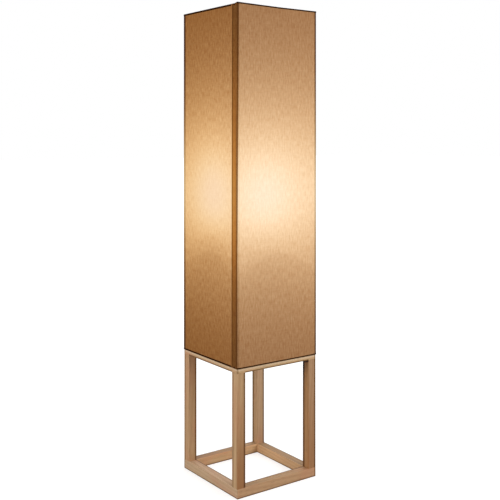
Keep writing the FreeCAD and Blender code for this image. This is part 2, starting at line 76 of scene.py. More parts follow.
camera_data = bpy.data.cameras.new("view")
camera_data.sensor_width = sensor_width
camera_data.lens = lens_length
camera_data.shift_x, camera_data.shift_y = lens_shift
camera = new_object("view", camera_data)
camera.location = camera_place
camera.rotation_euler = (camera_level, 0, camera_turn)
bpy.context.scene.camera = camera
bpy.context.scene.view_settings.view_transform = "Standard"


# Studio. A pale floor that runs out to white, a grey sky that looks white to the camera and to
# anything glossy, and three wide soft lights: one on each side of the camera and a weaker one
# behind the lamp.
def set_sockets(tree, node, sockets):
    """Gives each named socket of a node its value, or the output that feeds it."""
    for name, value in sockets.items():
        if isinstance(value, bpy.types.NodeSocket):
            tree.links.new(value, node.inputs[name])
        else:
            node.inputs[name].default_value = value


def add_node(tree, kind, sockets=None, **settings):
    """A shader node with its settings and its sockets filled in."""
    node = tree.nodes.new("ShaderNode" + kind)
    for name, value in settings.items():
        setattr(node, name, value)
    set_sockets(tree, node, sockets or {})
    return node


def calculate(tree, operation, *values):
    """The output of a Math node."""
    sockets = dict(enumerate(values))
    return add_node(tree, "Math", sockets, operation=operation).outputs[0]


def product(tree, first, *others):
    """Two or more values multiplied."""
    for other in others:
        first = calculate(tree, "MULTIPLY", first, other)
    return first


def calculate_vector(tree, operation, *vectors):
    """The outputs of a Vector Math node."""
    sockets = dict(enumerate(vectors))
    return add_node(tree, "VectorMath", sockets, operation=operation).outputs


def ranged(tree, value, low, high, to_low=0.0, to_high=1.0, shape="SMOOTHSTEP"):
    """A value taken from one range to another, with soft ends unless its shape is linear."""
    return add_node(tree, "MapRange", {
        "Value": value, "From Min": low, "From Max": high, "To Min": to_low, "To Max": to_high},
        interpolation_type=shape).outputs[0]


def seen_or_mirrored(tree):
    """One for the camera's rays and for what gloss and glass show, and nought for the rest."""
    path = add_node(tree, "LightPath").outputs
    seen = calculate(tree, "MAXIMUM", path["Is Camera Ray"], path["Is Glossy Ray"])
    return calculate(tree, "MAXIMUM", seen, path["Is Transmission Ray"])


def new_material(name, constants):
    """A material whose shader has these constants, with its tree, shader and object place."""
    material = bpy.data.materials.new(name)
    material.use_nodes = True
    tree = material.node_tree
    shader = tree.nodes["Principled BSDF"]
    set_sockets(tree, shader, constants)
    return material, tree, shader, add_node(tree, "TexCoord").outputs["Object"]


def soft_light(name, azimuth, elevation, power):
    """A wide rectangle of light that faces the middle of the lamp."""
    data = bpy.data.lights.new(name, "AREA")
    data.shape = "RECTANGLE"
    data.size, data.size_y = light_size
    data.energy = power
    data.color = light_colour
    turn, rise = math.radians(azimuth), math.radians(elevation)
    back = Vector((
        math.sin(turn) * math.cos(rise), -math.cos(turn) * math.cos(rise), math.sin(rise)))
    light = new_object(name, data)
    light.location = lamp_middle + light_distance * back
    light.rotation_euler = back.to_track_quat("Z", "Y").to_euler()
    light.visible_camera = False


lamp_middle = Vector((0, 0, cad_box[1].z / 2))
white = (1, 1, 1, 1)
sky_level = 0.46
white_level = 1.0
floor_size = 60.0
floor_colour = (0.50, 0.50, 0.50, 1)
near_lift = 0.66
far_lift = 1.0
near_reach = 0.5
far_reach = 3.0
light_distance = 2.6
light_size = (1.8, 2.0)
light_colour = (1.0, 0.99, 0.97)

world = bpy.data.worlds.new("studio")
world.use_nodes = True
bpy.context.scene.world = world
sky = world.node_tree
set_sockets(sky, sky.nodes["Background"], {
    "Color": white,
    "Strength": ranged(
        sky, seen_or_mirrored(sky), 0.0, 1.0, sky_level, white_level, "LINEAR")})

floor_mesh = bmesh.new()
bmesh.ops.create_grid(floor_mesh, x_segments=4, y_segments=4, size=floor_size / 2)
floor_data = bpy.data.meshes.new("studio_floor")
floor_mesh.to_mesh(floor_data)
floor_mesh.free()
studio_floor = new_object("studio_floor", floor_data)

floor_paint, tree, shader, place = new_material("studio_floor", {
    "Base Color": floor_colour, "Roughness": 0.9, "Specular IOR Level": 0.0,
    "Emission Color": white})
floor_distance = calculate_vector(tree, "LENGTH", place)["Value"]
floor_lift = ranged(tree, floor_distance, near_reach, far_reach, near_lift, far_lift, "LINEAR")
set_sockets(tree, shader, {"Emission Strength": product(tree, seen_or_mirrored(tree), floor_lift)})
floor_data.materials.append(floor_paint)

soft_light("right_light", azimuth=36, elevation=18, power=44.0)
soft_light("left_light", azimuth=-84, elevation=22, power=40.0)
soft_light("back_light", azimuth=144, elevation=22, power=16.0)


# Base frame. Twelve lengths of square oak, planed, eased along their edges and oiled: two
# mitred square frames with a post between them at each corner. They keep their modelled shape.
def new_group(name, inputs, outputs):
    """A node group with named sockets. Returns it with its inner inputs and outputs."""
    group = bpy.data.node_groups.new(name, "ShaderNodeTree")
    kinds = {1: "NodeSocketFloat", 3: "NodeSocketVector", 4: "NodeSocketColor"}
    for socket, value in inputs.items():
        size = len(value) if isinstance(value, tuple) else 1
        made = group.interface.new_socket(socket, in_out="INPUT", socket_type=kinds[size])
        made.default_value = value
    for socket, size in outputs.items():
        group.interface.new_socket(socket, in_out="OUTPUT", socket_type=kinds[size])
    taken = group.nodes.new("NodeGroupInput")
    given = group.nodes.new("NodeGroupOutput")
    return group, taken.outputs, given


def use_group(tree, group, sockets):
    """The outputs of the node group of that name, given these values."""
    return add_node(tree, "Group", sockets, node_tree=bpy.data.node_groups[group]).outputs


def mixed(tree, factor, first, second, blend="MIX"):
    """The colour that two colours mix to. Sockets 6 and 7 take colours and output 2 gives one."""
    sockets = {0: factor, 6: first, 7: second}
    return add_node(tree, "Mix", sockets, data_type="RGBA", blend_type=blend).outputs[2]


def layered(tree, colour, *layers):
    """A colour with others laid over it, each through its own mask."""
    for mask, over in layers:
        colour = mixed(tree, mask, colour, over)
    return colour


def tinted(tree, first, second):
    """One colour multiplied by another."""
    return mixed(tree, 1.0, first, second, "MULTIPLY")


def combined(tree, channels):
    """The colour of three channels."""
    return add_node(tree, "CombineColor", dict(enumerate(channels))).outputs[0]


def axes_of(tree, vector):
    """The X, Y and Z of a vector."""
    return add_node(tree, "SeparateXYZ", {"Vector": vector}).outputs


def vector_of(tree, *values):
    """A vector from its X, Y and Z."""
    return add_node(tree, "CombineXYZ", dict(enumerate(values))).outputs[0]


def stretched(tree, vector, shares):
    """Coordinates multiplied along X, Y and Z."""
    return calculate_vector(tree, "MULTIPLY", vector, shares)["Vector"]


def noise_value(tree, vector, scale, detail=2.0, roughness=0.5):
    """The grey value of a Noise texture."""
    return add_node(tree, "TexNoise", {
        "Vector": vector, "Scale": scale, "Detail": detail, "Roughness": roughness}).outputs[0]


def bumped(tree, height, distance):
    """The normal that a height gives."""
    return add_node(tree, "Bump", {"Height": height, "Distance": distance}).outputs[0]


def finish(material, *nodes):
    """Gives modelled pieces of the frame their finish."""
    for node in nodes:
        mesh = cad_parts[node].data
        mesh.materials.clear()
        mesh.materials.append(material)


ring_stretch = (0.06, 1.0, 1.0)
pore_stretch = (0.025, 1.0, 1.0)
patch_stretch = (0.35, 1.0, 1.0)
wave_turn = 20.0 / math.tau
fibre_scale = 700.0
pore_scale = 2100.0
patch_scale = 30.0
pore_range = (0.62, 0.72)
patch_range = (0.45, 0.75)
fibre_weight = 0.55
ring_weight = 0.45
blush_depth = 0.8
pore_depth = 0.35

tree, grain_in, grain_out = new_group(
    "Timber Grain",
    {"Vector": (0.0, 0.0, 0.0), "Light": (0.5, 0.4, 0.3, 1.0), "Dark": (0.4, 0.3, 0.2, 1.0),
     "Blush": (0.5, 0.3, 0.2, 1.0), "Ring Spacing": 0.006, "Contrast": 0.6, "Smooth": 0.5,
     "Rough": 0.7},
    {"Color": 4, "Roughness": 1, "Height": 1})
ring_line, pore_line, patch_line = [
    stretched(tree, grain_in["Vector"], stretch)
    for stretch in (ring_stretch, pore_stretch, patch_stretch)]
rings = add_node(tree, "TexWave", {
    "Vector": ring_line, "Distortion": 5.0, "Detail": 2.0, "Detail Scale": 0.6,
    "Scale": calculate(tree, "DIVIDE", 1 / wave_turn, grain_in["Ring Spacing"])},
    bands_direction="DIAGONAL")
fibre = noise_value(tree, pore_line, fibre_scale, detail=3.0)
pores = noise_value(tree, pore_line, pore_scale, detail=1.0)
pores = ranged(tree, pores, *pore_range)
patch = noise_value(tree, patch_line, patch_scale)
patch = ranged(tree, patch, *patch_range, 0.0, blush_depth)
figure = calculate(tree, "MULTIPLY_ADD", fibre, fibre_weight, product(
    tree, rings.outputs["Fac"], ring_weight))
figure = product(tree, figure, grain_in["Contrast"])
grain_colour = layered(
    tree, grain_in["Light"], (figure, grain_in["Dark"]), (patch, grain_in["Blush"]))
pore_shade = calculate(tree, "MULTIPLY_ADD", pores, -pore_depth, 1.0)
set_sockets(tree, grain_out, {
    "Color": tinted(tree, grain_colour, combined(tree, [pore_shade] * 3)),
    "Roughness": ranged(
        tree, figure, 0.0, 1.0, grain_in["Smooth"], grain_in["Rough"], "LINEAR"),
    "Height": calculate(tree, "SUBTRACT", fibre, pores)})

# Across, Beside and Along run from -1 to 1 through a length of stock. The first two are 1 on its
# left, front or upper face. Along is -1 at a rail's front or left end, or at a post's top.
# Painted light and shade for the oak: darker arrises and ends, and marks by the hem and rails.
corner_fade = (1.0, 2.0)
over_post_fade = (1.8, 2.1)
end_fade = (0.12, 0.50)
mitre_fade = (0.12, 0.36)
mitre_depth = 0.6
below_hem_fade = (0.03, 0.12)
hem_fade = (-0.20, -0.05)
hem_depth = 0.75
highlight_fade = (-0.60, -0.30)
highlight_depth = 0.6
painted_arris_shade = (0.34, 0.27, 0.16, 1)
side_fade = (0.90, 0.99)
rail_slant = 0.021
under_rail_fade = (-0.955, -0.925)
by_rail_fade = (-1.0, -0.65)
by_rail_depth = 0.35
corner_run_fade = (-0.9, -0.5)
rail_shadow_colour = (0.12, 0.06, 0.03, 1)
post_shade_spread = 0.7

tree, stock_in, stock_out = new_group(
    "Square Stock",
    {"Across": 0.0, "Beside": 0.0, "Along": 0.0, "End Share": 0.1, "Side Edge": 1.0,
     "Front Edge": 1.0, "Side Band": 0.17, "Front Band": 0.20, "Side Tone": (1.0, 1.0, 1.0, 1.0),
     "Post Shade": 0.0, "Post Shade From": 0.3, "Post Shade Run": 0.0, "Under Hem": 0.0, "Top Shade": 0.0},
    {"Tint": 4, "Post Shade Share": 1, "Highlight": 1})
across, beside, along = [stock_in[name] for name in ("Across", "Beside", "Along")]
on_side = calculate(tree, "GREATER_THAN", across, 0.0)
# Painted shade: darker arrises at the outer edges of the faces marked, and at a length's far end.
edge_depth, edge_band = [
    ranged(tree, on_side, 0.0, 1.0, stock_in["Front " + part], stock_in["Side " + part],
           "LINEAR")
    for part in ("Edge", "Band")]
from_corner = calculate(tree, "DIVIDE", calculate(
    tree, "MULTIPLY_ADD", across, beside, 1.0), edge_band)
corner_near = ranged(tree, from_corner, *corner_fade, 1.0, 0.0)
from_near_end, from_far_end = [
    calculate(tree, "DIVIDE", calculate(tree, way, 1.0, along), stock_in["End Share"])
    for way in ("ADD", "SUBTRACT")]
from_end = calculate(tree, "MINIMUM", from_near_end, from_far_end)
over_post = ranged(tree, from_end, *over_post_fade, stock_in["Under Hem"], 0.0)
corner_near = product(tree, corner_near, calculate(tree, "SUBTRACT", 1.0, over_post))
end_near = ranged(tree, from_far_end, *end_fade, 1.0, 0.0)
edge_shade = product(tree, edge_depth, calculate(tree, "MAXIMUM", corner_near, end_near))

below_hem = ranged(tree, beside, *below_hem_fade, 1.0, 0.0)
# Painted shadow on the top rails just under the shade's hem and at the mitre by the seam's corner.
hem_shadow = ranged(tree, beside, *hem_fade, 0.0, hem_depth)
hem_shadow = product(tree, hem_shadow, below_hem)
mitre_shadow = ranged(tree, from_near_end, *mitre_fade, mitre_depth, 0.0)
hem_shadow = product(tree, stock_in["Under Hem"], calculate(tree, "MAXIMUM", hem_shadow, mitre_shadow))
edge_shade = calculate(tree, "MAXIMUM", edge_shade, hem_shadow)
# Painted highlight: a paler band on the top rails' sides just below the shade's hem.
painted_highlight = ranged(tree, beside, *highlight_fade, 0.0, highlight_depth)
painted_highlight = product(tree, painted_highlight, below_hem)

# Painted light: the face that Across marks is lightened or darkened as the lamps reach it.
side_face = ranged(tree, across, *side_fade)
# Painted shadow down a post's side face under the top rail, slanting with it, darkest by the arris.
rail_shade = calculate(tree, "MULTIPLY_ADD", beside, rail_slant, along)
under_rail = ranged(tree, rail_shade, *under_rail_fade, 1.0, 0.0)
by_rail = ranged(tree, along, *by_rail_fade, by_rail_depth, 0.0)
corner_run = product(tree, corner_near, ranged(tree, along, *corner_run_fade, 1.0, 0.0))
top_shade = calculate(tree, "MAXIMUM", corner_run, calculate(tree, "MAXIMUM", under_rail, by_rail))
top_shade = product(tree, side_face, stock_in["Top Shade"], top_shade)
side_light_and_shadow = layered(tree, white, (side_face, stock_in["Side Tone"]), (top_shade, rail_shadow_colour))

# Painted shade: a darker brown over a post's front, deepening towards its foot.
post_shade_from, post_shade_depth = stock_in["Post Shade From"], stock_in["Post Shade"]
post_shade_full = calculate(tree, "ADD", post_shade_from, post_shade_spread)
post_shade_near = ranged(tree, beside, post_shade_from, post_shade_full, 0.0, post_shade_depth)
post_shade_top = calculate(tree, "SUBTRACT", 1.0, stock_in["Post Shade Run"])
post_shade_run = ranged(tree, along, -1.0, 1.0, post_shade_top, 1.0)
set_sockets(tree, stock_out, {
    "Tint": tinted(tree, mixed(tree, edge_shade, white, painted_arris_shade), side_light_and_shadow),
    "Post Shade Share": product(tree, post_shade_near, post_shade_run),
    "Highlight": product(tree, stock_in["Under Hem"], painted_highlight)})

grain_turns = {"x": (0, 0, 0), "y": (0, 0, math.pi / 2), "z": (0, math.pi / 2, 0)}
grain_bump = 0.00012


def timber(name, direction, cut, light, dark, blush, spacing, contrast):
    """A wood whose grain runs along one axis, cut from its own place in the log. Returns the
    material with its tree, shader, object place and grain."""
    material, tree, shader, place = new_material(name, {"Specular IOR Level": 0.15})
    turned = add_node(tree, "Mapping", {
        "Vector": place, "Rotation": grain_turns[direction], "Location": cut})
    grain = use_group(tree, "Timber Grain", {
        "Vector": turned.outputs[0], "Light": light, "Dark": dark, "Blush": blush,
        "Ring Spacing": spacing, "Contrast": contrast, "Smooth": 0.55, "Rough": 0.75})
    set_sockets(tree, shader, {
        "Base Color": grain["Color"], "Roughness": grain["Roughness"],
        "Normal": bumped(tree, grain["Height"], grain_bump)})
    return material, tree, shader, place, grain


oak_light = (0.50, 0.318, 0.172, 1)
oak_dark = (0.36, 0.205, 0.096, 1)
oak_blush = (0.46, 0.235, 0.125, 1)
# The next two colours are painted: shade over a post's front, and a highlight under the hem.
oak_post_shade = (0.30, 0.135, 0.052, 1)
oak_highlight = (0.72, 0.55, 0.38, 1)
oak_rings = 0.0055
oak_contrast = 0.75
log_reach = 3.0
# Each length's own tone, with painted light: lightened or darkened as the lamps reach it.
oak_tones_and_painted_light = {
    "top_rail_left": (1.08, 1.10, 1.10, 1), "top_rail_front": (1.17, 1.22, 1.21, 1),
    "bottom_rail_left": (1.06, 1.13, 1.36, 1), "bottom_rail_front": (0.97, 0.98, 1.02, 1),
    "bottom_rail_back": (0.88, 0.88, 0.90, 1), "bottom_rail_right": (0.82, 0.82, 0.84, 1),
    "post_front_left": (1.07, 1.09, 1.09, 1), "post_front_right": (0.88, 0.83, 0.85, 1),
    "post_back_left": (1.06, 1.04, 1.04, 1), "post_back_right": (1.10, 1.19, 1.36, 1)}
# Painted light and shade for some lengths: lit or shaded sides, arris shade and post shade.
oak_painted_light = {
    "bottom_rail_left": {"Side Tone": (1.09, 1.12, 1.08, 1)},
    "bottom_rail_front": {"Side Tone": (1.08, 1.03, 1.02, 1)},
    "bottom_rail_back": {"Side Tone": (1.58, 1.62, 1.60, 1)},
    "bottom_rail_right": {"Side Tone": (1.76, 1.76, 1.76, 1)},
    "post_front_left": {
        "Side Tone": (1.05, 1.07, 1.09, 1), "Side Edge": 0.50, "Post Shade": 0.95, "Post Shade Run": 0.9},
    "post_front_right": {
        "Side Tone": (1.12, 1.02, 0.85, 1), "Post Shade": 0.72, "Post Shade Run": 1.0, "Top Shade": 1.0},
    "post_back_left": {"Side Edge": 0.50},
    "post_back_right": {
        "Side Tone": (1.17, 1.15, 1.08, 1), "Post Shade": 0.3, "Post Shade From": -2.0, "Post Shade Run": 1.0}}


def finish_oak(node, direction):
    """Oak for one length of the frame: its own grain and tone, with painted light and shade such as
    darker arrises.
    """
    cut = tuple(random.uniform(-log_reach, log_reach) for _ in range(3))
    colours = [tuple(a * b for a, b in zip(colour, oak_tones_and_painted_light.get(node, white)))
               for colour in (oak_light, oak_dark, oak_blush)]
    material, tree, shader, place, grain = timber(
        node + "_oak", direction, cut, *colours, oak_rings, oak_contrast)
    low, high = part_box(node)
    middle, half = (low + high) / 2, (high - low) / 2
    from_middle = calculate_vector(tree, "SUBTRACT", place, middle)["Vector"]
    share = axes_of(tree, stretched(tree, from_middle, (-1 / half.x, -1 / half.y, 1 / half.z)))
    across, beside, along = {"x": "YZX", "y": "XZY", "z": "XYZ"}[direction]
    look = {
        "Across": share[across], "Beside": share[beside],
        "Along": product(tree, share[along], -1.0),
        "End Share": min(half) / max(half), "Under Hem": float("top" in node)}
    if direction == "z":
        look.update({"End Share": 0.0001, "Side Band": 0.44, "Front Band": 0.28})
    look.update(oak_painted_light.get(node, {}))
    stock = use_group(tree, "Square Stock", look)
    # Painted shade over a post's front and a painted highlight under the shade's hem.
    colour = layered(
        tree, grain["Color"], (stock["Post Shade Share"], oak_post_shade), (stock["Highlight"], oak_highlight))
    set_sockets(tree, shader, {"Base Color": tinted(tree, colour, stock["Tint"])})
    finish(material, node)


side_axes = {"front": "x", "back": "x", "left": "y", "right": "y"}
random.seed(7)
for side, direction in side_axes.items():
    for level in ("bottom", "top"):
        finish_oak(f"{level}_rail_{side}", direction)
for corner in ("front_left", "front_right", "back_left", "back_right"):
    finish_oak(f"post_{corner}", "z")


# Mitre dowels. Short beech pegs glued across the mitres of both square frames, with their ends
# inside the rails.
dowel_wood = timber(
    "dowel_beech", "x", cut=(0, 0, 0), light=(0.62, 0.45, 0.29, 1), dark=(0.50, 0.34, 0.2, 1),
    blush=(0.58, 0.40, 0.25, 1), spacing=0.003, contrast=0.6)[0]
finish(dowel_wood, "bottom_mitre_dowels", "top_mitre_dowels")


# Felt pads. Four round pads of pressed brown wool, cut with a soft edge and let into the
# underside of the lower frame at its corners, a little proud of it.
def new_piece(name, mesh, material, body):
    """Makes a finished mesh into a piece that rides on a body."""
    data = bpy.data.meshes.new(name)
    mesh.to_mesh(data)
    mesh.free()
    data.materials.append(material)
    piece = new_object(name, data)
    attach(piece, body)
    return piece


def spin_profile(mesh, profile, centre, steps):
    """Turns (radius, height) points once round the upright line through a centre."""
    line = [mesh.verts.new(centre + Vector((radius, 0, height))) for radius, height in profile]
    edges = [mesh.edges.new(pair) for pair in zip(line, line[1:])]
    bmesh.ops.spin(mesh, geom=line + edges, cent=centre, axis=(0, 0, 1), angle=math.tau,
                   steps=steps, use_merge=True)


def close_up(mesh):
    """Merges what meets and turns every face outwards."""
    bmesh.ops.remove_doubles(mesh, verts=mesh.verts, dist=merge_distance)
    bmesh.ops.recalc_face_normals(mesh, faces=mesh.faces)
    for face in mesh.faces:
        face.smooth = True


merge_distance = 0.00001
felt_low, felt_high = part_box("foot_pads")
felt_radius = 0.009
felt_edge = 0.0006
felt_steps = 40
felt_fuzz = 0.00012
felt_fuzz_scale = 900
felt_hair_scale = 2600.0
felt_bump = 0.0003
felt_dark = (0.06, 0.035, 0.022, 1)
felt_light = (0.16, 0.10, 0.065, 1)
felt_place = felt_high.x - felt_radius
felt_thickness = felt_high.z - felt_low.z
felt_profile = [
    (0, 0), (felt_radius / 2, 0), (felt_radius - felt_edge, 0), (felt_radius, felt_edge),
    (felt_radius, felt_thickness - felt_edge), (felt_radius - felt_edge, felt_thickness),
    (felt_radius / 2, felt_thickness), (0, felt_thickness)]
felt_mesh = bmesh.new()
for right in (-1, 1):
    for back in (-1, 1):
        centre = Vector((right * felt_place, back * felt_place, 0))
        spin_profile(felt_mesh, felt_profile, centre, felt_steps)
close_up(felt_mesh)
for vert in felt_mesh.verts:
    if felt_edge / 2 < vert.co.z < felt_thickness - felt_edge / 2:
        fuzz = noise.noise(vert.co * felt_fuzz_scale) * felt_fuzz
        vert.co.x += fuzz
        vert.co.y -= fuzz

felt_material, tree, shader, place = new_material("pressed_felt", {
    "Roughness": 0.95, "Specular IOR Level": 0.15, "Sheen Weight": 0.4})
felt_hair = noise_value(tree, place, felt_hair_scale, detail=4.0, roughness=0.7)
set_sockets(tree, shader, {
    "Base Color": mixed(tree, felt_hair, felt_dark, felt_light),
    "Normal": bumped(tree, felt_hair, felt_bump)})
felt_pads = new_piece("felt_pads", felt_mesh, felt_material, "base")
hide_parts("foot_pads")


# Metal fittings inside the frame and the shade: steel screws, a painted steel bridge between the
# top rails, and the zinc plated pipe, nut and toothed washer that clamp the stem to it. A nylon
# bushing lines the pipe's lower end.
spot_fade = (0.45, 0.8)
dull_fade = (0.3, 0.75)
line_stretch = (1, 1, 12)
line_scale = 900.0
line_height = 0.5
metal_bump = 0.00003

tree, wear_in, wear_out = new_group(
    "Handled Metal",
    {"Vector": (0.0, 0.0, 0.0), "Metal": (0.5, 0.5, 0.5, 1.0), "Tarnish": (0.3, 0.3, 0.3, 1.0),
     "Spot Scale": 300.0, "Smooth": 0.25, "Rough": 0.45},
    {"Color": 4, "Roughness": 1, "Height": 1})
spots = noise_value(tree, wear_in["Vector"], wear_in["Spot Scale"], detail=4.0, roughness=0.6)
spotted = ranged(tree, spots, *spot_fade)
line_way = stretched(tree, wear_in["Vector"], line_stretch)
lines = noise_value(tree, line_way, line_scale)
set_sockets(tree, wear_out, {
    "Color": mixed(tree, spotted, wear_in["Metal"], wear_in["Tarnish"]),
    "Roughness": ranged(tree, spots, *dull_fade, wear_in["Smooth"], wear_in["Rough"]),
    "Height": calculate(tree, "MULTIPLY_ADD", lines, line_height, spots)})


def group_material(name, group, values, bump, constants):
    """A material that takes its colour, roughness and height from a group."""
    material, tree, shader, place = new_material(name, constants)
    surface = use_group(tree, group, {"Vector": place, **values})
    set_sockets(tree, shader, {
        "Base Color": surface["Color"], "Roughness": surface["Roughness"],
        "Normal": bumped(tree, surface["Height"], bump)})
    return material


def metal(name, colour, tarnish, spot_scale, smooth, rough):
    """A bare or plated metal with fine turning lines and duller spots."""
    return group_material(name, "Handled Metal", {
        "Metal": colour, "Tarnish": tarnish, "Spot Scale": spot_scale, "Smooth": smooth,
        "Rough": rough}, metal_bump, {"Metallic": 1.0})


screw_steel = metal(
    "screw_steel", colour=(0.42, 0.40, 0.36, 1), tarnish=(0.25, 0.22, 0.18, 1),
    spot_scale=500.0, smooth=0.28, rough=0.5)
zinc_steel = metal(
    "zinc_steel", colour=(0.56, 0.56, 0.55, 1), tarnish=(0.40, 0.41, 0.42, 1),
    spot_scale=260.0, smooth=0.25, rough=0.48)
finish(screw_steel, "bottom_post_screws", "top_post_screws", "bridge_screws")
finish(zinc_steel, "lamp_pipe", "lock_nut", "tooth_washer")

cloud_scale = 90.0
cloud_fade = (0.3, 0.7)
dust_fade = (0.5, 0.8)
dust_colour = (0.45, 0.42, 0.38, 1)

tree, moulding_in, moulding_out = new_group(
    "Moulded Skin",
    {"Vector": (0.0, 0.0, 0.0), "Color": (0.5, 0.5, 0.5, 1.0), "Shade": 0.85, "Dust": 0.1,
     "Skin Scale": 2500.0, "Smooth": 0.3, "Rough": 0.5},
    {"Color": 4, "Roughness": 1, "Height": 1})
skin = noise_value(tree, moulding_in["Vector"], moulding_in["Skin Scale"])
cloud = noise_value(tree, moulding_in["Vector"], cloud_scale, detail=3.0)
dulled = ranged(tree, cloud, *cloud_fade, 1.0, moulding_in["Shade"])
moulded_colour = tinted(tree, moulding_in["Color"], combined(tree, [dulled] * 3))
dust_share = product(tree, ranged(tree, cloud, *dust_fade), moulding_in["Dust"])
set_sockets(tree, moulding_out, {
    "Color": mixed(tree, dust_share, moulded_colour, dust_colour),
    "Roughness": ranged(
        tree, cloud, *cloud_fade, moulding_in["Smooth"], moulding_in["Rough"]),
    "Height": skin})


def moulding(name, colour, shade, dust, skin_scale, smooth, rough, bump, constants=None):
    """A plastic, fibre or painted skin with a fine texture, a little cloudiness and dust."""
    return group_material(name, "Moulded Skin", {
        "Color": colour, "Shade": shade, "Dust": dust, "Skin Scale": skin_scale,
        "Smooth": smooth, "Rough": rough}, bump, constants or {})


finish(moulding(
    "bridge_paint", colour=(0.62, 0.58, 0.48, 1), shade=0.9, dust=0.15, skin_scale=900.0,
    smooth=0.32, rough=0.5, bump=0.00006,
    constants={"Coat Weight": 0.3, "Coat Roughness": 0.2}), "lamp_bridge")
finish(moulding(
    "black_nylon", colour=(0.018, 0.018, 0.018, 1), shade=0.8, dust=0.1, skin_scale=2500.0,
    smooth=0.35, rough=0.55, bump=0.00003), "cord_bushing")


# Stem. A brass tube stands on a dished washer over the lamp pipe and carries the neck ring that
# the lampholder's cap sits on. All of it is turned brass with a satin lacquer.
satin_brass = metal(
    "satin_brass", colour=(0.60, 0.43, 0.20, 1), tarnish=(0.53, 0.37, 0.17, 1),
    spot_scale=120.0, smooth=0.22, rough=0.38)
finish(satin_brass, "seat_washer", "stem_tube", "neck_ring")


# Lampholder. A brass cap and shell with a grey fibre sleeve inside, a black phenolic body, a
# screw shell and contact of spring alloy, and a black turn key on the switch's shaft.
contact_alloy = metal(
    "contact_alloy", colour=(0.64, 0.63, 0.58, 1), tarnish=(0.46, 0.44, 0.40, 1),
    spot_scale=400.0, smooth=0.2, rough=0.4)
grey_fibre = moulding(
    "grey_fibre", colour=(0.17, 0.15, 0.135, 1), shade=0.75, dust=0.1, skin_scale=1400.0,
    smooth=0.7, rough=0.9, bump=0.00012)
black_phenolic = moulding(
    "black_phenolic", colour=(0.016, 0.015, 0.014, 1), shade=0.8, dust=0.06, skin_scale=1800.0,
    smooth=0.18, rough=0.34, bump=0.00002)
finish(satin_brass, "holder_cap", "holder_shell", "terminal_screws", "switch_shaft")
finish(contact_alloy, "holder_contact", "holder_screw_shell")
finish(black_phenolic, "holder_body", "switch_key")
finish(screw_steel, "holder_set_screw")
finish(grey_fibre, "holder_sleeve")


# Bulb. A screw cap with its glass button and solder tip, a white housing round the driver, the
# board that carries the diodes, and an opal globe that glows warm white.
finish(contact_alloy, "bulb_screw_cap")
finish(metal(
    "solder", colour=(0.56, 0.56, 0.54, 1), tarnish=(0.40, 0.40, 0.39, 1), spot_scale=700.0,
    smooth=0.3, rough=0.5), "bulb_tip")
finish(moulding(
    "black_glass", colour=(0.018, 0.018, 0.022, 1), shade=0.8, dust=0.04, skin_scale=600.0,
    smooth=0.06, rough=0.16, bump=0.00001), "bulb_insulator")
finish(moulding(
    "white_plastic", colour=(0.80, 0.78, 0.73, 1), shade=0.94, dust=0.1, skin_scale=2200.0,
    smooth=0.35, rough=0.5, bump=0.00002), "bulb_housing")
finish(moulding(
    "led_board", colour=(0.76, 0.75, 0.72, 1), shade=0.9, dust=0.05, skin_scale=1500.0,
    smooth=0.4, rough=0.6, bump=0.00002), "bulb_led_board")

globe_low, globe_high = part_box("bulb_globe")
globe_neck = 0.022
opal_cloud_scale = 120.0
opal_light = (0.74, 0.70, 0.61, 1)
opal_dark = (0.70, 0.65, 0.55, 1)
neck_glow = (0.55, 0.36, 0.18, 1)
warm_glow = (1.0, 0.84, 0.58, 1)
opal, tree, shader, place = new_material("opal_plastic", {
    "Roughness": 0.22, "Emission Strength": 0.30})
globe_rise = axes_of(tree, place)["Z"]
globe_glow = ranged(tree, globe_rise, globe_low.z, globe_low.z + globe_neck)
opal_cloud = noise_value(tree, place, opal_cloud_scale)
set_sockets(tree, shader, {
    "Base Color": mixed(tree, opal_cloud, opal_light, opal_dark),
    "Emission Color": mixed(tree, globe_glow, neck_glow, warm_glow)})
finish(opal, "bulb_globe")

lamp_height = (globe_low.z + globe_high.z) / 2
bulb_light_data = bpy.data.lights.new("bulb_light", "POINT")
bulb_light_data.energy = 2.2
bulb_light_data.color = (1.0, 0.76, 0.46)
bulb_light_data.shadow_soft_size = 0.0315
bulb_light = new_object("bulb_light", bulb_light_data)
bulb_light.location = (0, 0, lamp_height)
bulb_light.visible_camera = False
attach(bulb_light, "bulb")


# Shade's inside. Four panels of white film that the cloth is stuck to, with a bent wire square
# in the upper edge and four mitred battens glued round the foot, which stand on the frame.
cloth_low, cloth_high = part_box("shade_cloth")
shade_half = cloth_high.x
falloff_power = 1.5
soft_middle = 0.06
reach_blend = 0.02
from_above = (1, 1, 0)

# The light that the bulb throws on the shade's walls: a direct part, which the bulb's housing
# shades below a slope, with an arch under it, and a broad part that fades up and down a wall.
tree, glow_in, glow_out = new_group(
    "Lamp Glow",
    {"Vector": (0.0, 0.0, 0.0), "Lean": (0.0, 0.0, 0.0), "Lamp Height": 0.7,
     "Wall Distance": 0.126, "Direct": 1.0, "Broad": 0.3, "Reach Up": 0.14, "Reach Down": 0.1,
     "Shade Slope": -1.2, "Shade Blur": 1.0, "Shade Leak": 0.2, "Arch Slope": -1.0,
     "Arch Blur": 0.2, "Arch Depth": 0.4},
    {"Light": 1})
glow_axes = axes_of(tree, glow_in["Vector"])
rise = calculate(tree, "SUBTRACT", glow_axes["Z"], glow_in["Lamp Height"])
half_way = calculate(tree, "ADD", glow_axes["X"], glow_axes["Y"])
half_sign = product(tree, calculate(tree, "SIGN", half_way), -1.0)
half_turn = vector_of(tree, half_sign, half_sign)
turned = stretched(tree, glow_in["Vector"], half_turn)
leaning = calculate_vector(tree, "SUBTRACT", turned, glow_in["Lean"])["Vector"]
run = calculate_vector(tree, "LENGTH", leaning)["Value"]
on_plan = stretched(tree, glow_in["Vector"], from_above)
wall_run = calculate_vector(tree, "LENGTH", on_plan)["Value"]

